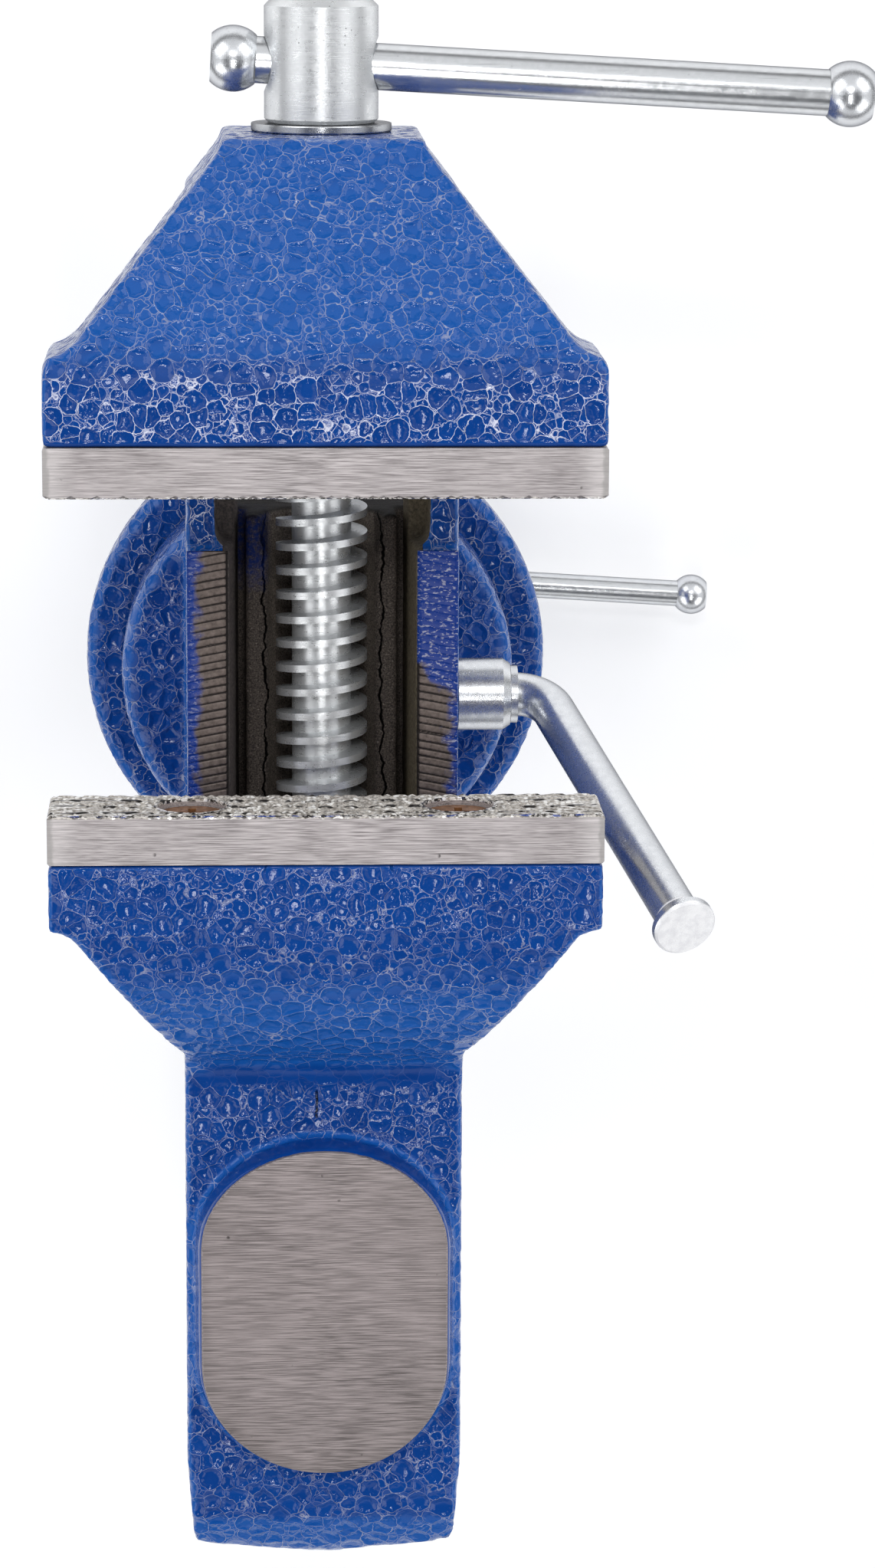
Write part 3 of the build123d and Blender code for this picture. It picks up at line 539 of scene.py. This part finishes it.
M_FIX = enamel("enamel_fixed", masks_fixed, "fixed")
M_MOV = enamel("enamel_moving", masks_moving, "moving")
M_CLAMP = enamel("enamel_clamp", masks_clamp)
M_PLATE = ground("ground_plate", "x", ends=34.3)
M_ANVIL = ground("ground_anvil", "x", (155, 145, 144), (91, 84, 83))
M_RAIL = rail_steel("milled_rail")
M_ZINC = plated("zinc_screw", lin(240, 242, 243), 0.30, "y", 0.8, 0.74, 0.03)
M_WASHER = plated("zinc_washer", lin(198, 200, 203), 0.24, None, 0.4)
M_CHROME = plated("chrome_handle", lin(232, 234, 236), 0.22, None, 0.3, 0.95, 0.0, "x")
M_KNOB = plated("chrome_knob", lin(228, 230, 233), 0.24, None, 0.3, 0.95, 0.03)
M_LEVER = plated("chrome_lever", lin(232, 234, 237), 0.27, None, 0.15, 0.92, 0.02, None, (-45.4, 21.6, 82.0))
M_BRIGHT = plated("bright_steel", lin(190, 190, 190), 0.25, "z", 0.4)
M_BROWN = oxide("brown_screw", (176, 122, 78), (84, 60, 44), 0.42)
M_BLACK = oxide("black_oxide", (46, 45, 47), (24, 23, 25), 0.45)
M_NUT = oxide("nut_iron", (104, 98, 92), (66, 62, 60), 0.55)


# ------------------------------------------------------------------ painted castings
fixed = displaced("fixed_casting_skin", "fixed_jaw_body", 0.62, 5, masks_fixed, 0.12, 0.12)
moving = displaced("moving_casting_skin", "moving_jaw_body", 0.58, 5, masks_moving, 0.14)
clamp = displaced("clamp_casting_skin", "clamp_frame", 0.72, 5, masks_clamp)
for ob, node, body, mat in ((fixed, "fixed_jaw_body", "body", M_FIX), (moving, "moving_jaw_body", "moving_jaw", M_MOV), (clamp, "clamp_frame", "base", M_CLAMP)):
    ob.data.materials.append(mat)
    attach(ob, body)
    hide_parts(node)


# ------------------------------------------------------------------ mesh helper
def mesh_object(name, verts, faces, mat, smooth=True):
    me = bpy.data.meshes.new(name)
    me.from_pydata([tuple(c / 1000 for c in v) for v in verts], [], faces)
    me.update()
    me.materials.append(mat)
    ob = bpy.data.objects.new(name, me)
    SCENE.collection.objects.link(ob)
    for poly in me.polygons:
        poly.use_smooth = smooth
    return ob


# ------------------------------------------------------------------ anvil: the ground face
def anvil_outline(inset, n=48):
    a, b, c, d = ANVIL_Y
    w = ANVIL_HALF - inset
    pts = []
    for i in range(n + 1):
        t = math.pi * i / n
        pts.append((w * math.cos(t), c + (d - c - inset) * math.sin(t)))
    for i in range(n + 1):
        t = math.pi + math.pi * i / n
        pts.append((w * math.cos(t), b + (b - a - inset) * math.sin(t)))
    return pts


def anvil_face():
    rings = ((0.0, 69.3), (0.02, 69.85), (0.10, 69.97), (0.30, 70.02))
    verts, faces = [], []
    n = len(anvil_outline(0))
    for inset, z in rings:
        verts += [(x, y, z) for x, y in anvil_outline(inset + 0.12)]
    for r in range(len(rings) - 1):
        for i in range(n):
            j = (i + 1) % n
            faces.append((r * n + i, r * n + j, (r + 1) * n + j, (r + 1) * n + i))
    top = (len(rings) - 1) * n
    steps = 12
    yc = (ANVIL_Y[1] + ANVIL_Y[2]) / 2
    last = top
    base = anvil_outline(0.42)
    for s in range(1, steps):
        k = 1 - s / steps
        start = len(verts)
        verts += [(x * k, yc + (y - yc) * k, 70.02) for x, y in base]
        for i in range(n):
            j = (i + 1) % n
            faces.append((last + i, last + j, start + j, start + i))
        last = start
    verts.append((0, yc, 70.02))
    for i in range(n):
        faces.append((last + i, last + (i + 1) % n, len(verts) - 1))
    return mesh_object("anvil_ground_face", verts, faces, M_ANVIL)


anvil = anvil_face()
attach(anvil, "body")


# ------------------------------------------------------------------ rails: milled lands with the cutter's curved marks
def rail_land(side):
    rng = np.random.default_rng(11 if side > 0 else 23)
    nx, dy = 22, 0.115
    xs = np.linspace(RAIL_IN + 0.10, RAIL_OUT - 0.18, nx)
    ys = np.arange(LAND_Y, ARM_END - 0.35, dy)
    ny = len(ys)
    pitch = 1.07
    marks = np.arange(-8, int((ARM_END - LAND_Y) / pitch) + 12)
    jig = rng.normal(0, 0.05, len(marks) + 4)
    deep = 0.13 + 0.07 * rng.random(len(marks) + 4)
    verts, faces = [], []
    for j, y in enumerate(ys):
        for i, x in enumerate(xs):
            s = (y - LAND_Y - (x * x - 150.0) / 150.0) / pitch
            k = int(math.floor(s + 0.06 * math.sin(3.1 * s)))
            f = s - k + jig[k + 8]
            f -= math.floor(f)
            cut = deep[k + 8] * max(0.0, 1 - abs(f - 0.16) / 0.16)
            edge = min((x - xs[0]), (xs[-1] - x))
            z = RAIL_TOP + 0.015 - cut - 0.05 * max(0.0, 1 - edge / 0.3) - 0.25 * max(0.0, 1 - (x - xs[0]) / 0.5) ** 2
            verts.append((side * x, y, z))
    for j in range(ny - 1):
        for i in range(nx - 1):
            q = (j * nx + i, j * nx + i + 1, (j + 1) * nx + i + 1, (j + 1) * nx + i)
            faces.append(q if side > 0 else q[::-1])
    # skirt down into the casting
    rim = [i for i in range(nx)] + [j * nx + nx - 1 for j in range(1, ny)] + [(ny - 1) * nx + i for i in range(nx - 2, -1, -1)] + [j * nx for j in range(ny - 2, 0, -1)]
    start = len(verts)
    verts += [(verts[r][0], verts[r][1], RAIL_TOP - 0.6) for r in rim]
    for a in range(len(rim)):
        b = (a + 1) % len(rim)
        q = (rim[a], start + a, start + b, rim[b])
        faces.append(q if side > 0 else q[::-1])
    return mesh_object("rail_land_" + ("left" if side > 0 else "right"), verts, faces, M_RAIL)


for side in (1, -1):
    r = rail_land(side)
    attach(r, "moving_jaw")


# ------------------------------------------------------------------ plates: burrs thrown up along the gripping edges and round the screw holes
def burr_steel(name, blue):
    m, g, b, p = material(name)
    n1 = g.noise(p, 1.5, 4.0, 0.65)
    n2 = g.noise(g.vec("MULTIPLY", p, (0.5, 2.0, 2.0)), 1.0, 3.0, 0.6)
    # Near-white and near-black patches: painted highlight and painted shade on the torn metal, with blue paint left on
    # in places.
    c = g.mix(g.step(n1, 0.46, 0.56), lin(40, 37, 36), lin(226, 222, 218))
    c = g.mix(g.mul(g.step(n2, 0.52, 0.60), blue), c, lin(18, 66, 158))
    g.put(b.inputs["Base Color"], c)
    b.inputs["Metallic"].default_value = 0.4
    g.put(b.inputs["Roughness"], g.ramp(n1, 0.3, 0.7, 0.5, 0.28))
    bump(g, b, n1, 0.06, 0.5)
    return m


def edge_burr(name, face, out, seed, mat, some=0.47):
    """A torn strip along the top edge of a gripping face; out is the way the face looks."""
    rng = np.random.default_rng(seed)
    xs = np.arange(-34.4, 34.41, 0.14)
    n = len(xs)
    walk = lambda k: np.convolve(rng.random(n + 2 * k), np.ones(k) / k, "same")[k:k + n]
    patch = np.clip((walk(26) - some) * 9, 0, 1)
    hang = (0.02 + 0.12 * rng.random(n) ** 2 + 0.05 * walk(4)) * (0.25 + 0.75 * patch)
    lift = 0.01 + 0.05 * walk(3) * patch
    back = 0.08 + 0.30 * walk(5) * patch + 0.05 * rng.random(n)
    drop = 0.08 + 0.35 * walk(4) * patch + 0.06 * rng.random(n)
    verts, faces = [], []
    for i in range(n):
        x = xs[i] + rng.normal(0, 0.03)
        verts += [(x, face - out * back[i], JAW_TOP + 0.004), (x, face - out * 0.05, JAW_TOP + lift[i]),
                  (x, face + out * hang[i], JAW_TOP - 0.06 - 0.3 * drop[i]), (x, face - out * 0.02, JAW_TOP - drop[i])]
    for i in range(n - 1):
        for k in range(3):
            q = (4 * i + k, 4 * i + k + 1, 4 * i + 5 + k, 4 * i + 4 + k)
            faces.append(q if out < 0 else q[::-1])
    return mesh_object(name, verts, faces, mat, False)


def hole_burr(name, face, out, seed, mat):
    """Ragged lips round the two screw holes of a plate."""
    rng = np.random.default_rng(seed)
    verts, faces = [], []
    n = 84
    for sx in (16.9, -16.9):
        start = len(verts)
        wide = 0.18 + 0.5 * rng.random(n) ** 2
        tall = 0.02 + 0.06 * rng.random(n)
        for i in range(n):
            t = 2 * math.pi * i / n
            c, d = math.cos(t), math.sin(t)
            for r, y in ((4.38, -0.35), (4.42 + 0.1 * rng.random(), tall[i]), (4.45 + wide[i], -0.02)):
                verts.append((sx + r * c, face + out * y, 75.6 + r * d))
        for i in range(n):
            j = (i + 1) % n
            for k in range(2):
                q = (start + 3 * i + k, start + 3 * i + k + 1, start + 3 * j + k + 1, start + 3 * j + k)
                faces.append(q if out > 0 else q[::-1])
    return mesh_object(name, verts, faces, mat, False)


M_BURR_F = burr_steel("burr_fixed", 0.85)
M_BURR_M = burr_steel("burr_moving", 0.15)
for name, make, face, out, seed, mat, body in (
        ("fixed_edge_burr", edge_burr, FIX_FACE, -1, 5, M_BURR_F, "body"), ("moving_edge_burr", edge_burr, MOV_FACE, 1, 8, M_BURR_M, "moving_jaw"),
        ("fixed_hole_burr", hole_burr, FIX_FACE, -1, 15, M_BURR_M, "body"), ("moving_hole_burr", hole_burr, MOV_FACE, 1, 18, M_BURR_M, "moving_jaw")):
    piece = make(name, face, out, seed, mat, 0.56) if name == "moving_edge_burr" else make(name, face, out, seed, mat)
    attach(piece, body)


# ------------------------------------------------------------------ finishes of the turned, plated and ground pieces
FINISH = {
    "fixed_jaw_plate": M_PLATE, "moving_jaw_plate": M_PLATE,
    "fixed_plate_screws": M_BROWN, "moving_plate_screws": M_BROWN,
    "lead_nut": M_NUT, "nut_set_screw": M_BLACK,
    "thrust_washer": M_WASHER, "lead_screw": M_ZINC, "retaining_washer": M_WASHER, "retaining_pin": M_BRIGHT,
    "handle_bar": M_CHROME, "handle_knob_left": M_KNOB, "handle_knob_right": M_KNOB,
    "lock_screw": M_LEVER, "lock_lever": M_LEVER,
    "swivel_post": M_BRIGHT, "clamp_pad": M_ZINC, "clamp_screw": M_ZINC,
    "clamp_bar": M_CHROME, "clamp_bar_knob_left": M_KNOB, "clamp_bar_knob_right": M_KNOB,
}
for node, mat in FINISH.items():
    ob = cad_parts[node]
    if len(ob.material_slots) == 0:
        ob.data.materials.append(mat)
    for s in ob.material_slots:
        s.material = mat


# ------------------------------------------------------------------ floor, light, camera
FLOOR_Z = -0.0785
fl = bpy.data.meshes.new("floor")
fl.from_pydata([(-3, -3, FLOOR_Z), (3, -3, FLOOR_Z), (3, 3, FLOOR_Z), (-3, 3, FLOOR_Z)], [], [(0, 1, 2, 3)])
floor = bpy.data.objects.new("floor", fl)
SCENE.collection.objects.link(floor)
fm, g, b, p = material("floor_white")
g.put(b.inputs["Base Color"], g.mix(g.noise(p, 0.01, 2.0), (0.86, 0.86, 0.86), (0.9, 0.9, 0.9)))
b.inputs["Roughness"].default_value = 0.9
b.inputs["Specular IOR Level"].default_value = 0.1
b.inputs["Emission Color"].default_value = (1, 1, 1, 1)
b.inputs["Emission Strength"].default_value = 0.19
fl.materials.append(fm)

world = bpy.data.worlds.new("studio")
SCENE.world = world
world.use_nodes = True
wt = world.node_tree
wt.nodes.clear()
g = G(wt)
wo = g.n("ShaderNodeOutputWorld")
bg = g.n("ShaderNodeBackground")
wt.links.new(bg.outputs[0], wo.inputs[0])
wx, wy, wz = g.n_sep(g.n("ShaderNodeTexCoord").outputs["Generated"])
lobe = g.vec("DOT_PRODUCT", g.comb(wx, wy, wz), (0.0, 0.30, 0.954))
sky = g.mix(g.step(lobe, 0.74, 0.88), (0.95, 0.96, 0.98), (0.08, 0.085, 0.095))
g.put(bg.inputs["Color"], g.mix(g.step(wz, 0.40, 0.06, 0.0, 0.85), sky, (0.02, 0.02, 0.022)))
bg.inputs["Strength"].default_value = 0.8


def area(name, loc, aim, size, power, color=(1, 1, 1)):
    li = bpy.data.lights.new(name, "AREA")
    li.shape = "RECTANGLE"
    li.size, li.size_y = size
    li.energy = power
    li.color = color
    ob = bpy.data.objects.new(name, li)
    SCENE.collection.objects.link(ob)
    ob.location = loc
    d = Vector(aim) - Vector(loc)
    ob.rotation_euler = d.to_track_quat("-Z", "Y").to_euler()
    return ob


area("key_front", (0.02, -0.42, 1.05), (0, 0, 0.06), (0.3, 0.1), 1.6)
area("strip_top", (0.0, 0.2, 1.05), (0, 0.05, 0.05), (0.05, 0.5), 1.4)
for name, sx, sy, power in (("front_left", 1, -1, 3.4), ("front_right", -1, -1, 3.4), ("rear_left", 1, 1, 3.0), ("rear_right", -1, 1, 3.0)):
    area(name, (sx * 0.85, sy * 0.72, 0.80), (0, 0.01, 0.06), (0.9, 0.7), power)

cam_data = bpy.data.cameras.new("camera")
cam_data.lens = 6100 / 2046 * 36
cam_data.sensor_width = 36.0
cam_data.clip_start = 0.01
cam_data.clip_end = 20
cam = bpy.data.objects.new("camera", cam_data)
SCENE.collection.objects.link(cam)
tx, ty, tz = -0.0437, 0.2032, 0.0046
rz = Matrix.Rotation(tz, 3, "Z")
rx = Matrix.Rotation(ty, 3, "X")
ry = Matrix.Rotation(tx, 3, "Y")
R = rz @ rx @ ry @ Matrix(((-1, 0, 0), (0, 1, 0), (0, 0, -1)))
right, down, fwd = R[0], R[1], R[2]
rot = Matrix((right, -down, -fwd)).transposed()
cam.matrix_world = Matrix.Translation((0.0111364, -0.1153611, 0.6550079)) @ rot.to_4x4()
SCENE.camera = cam

bpy.context.view_layer.update()
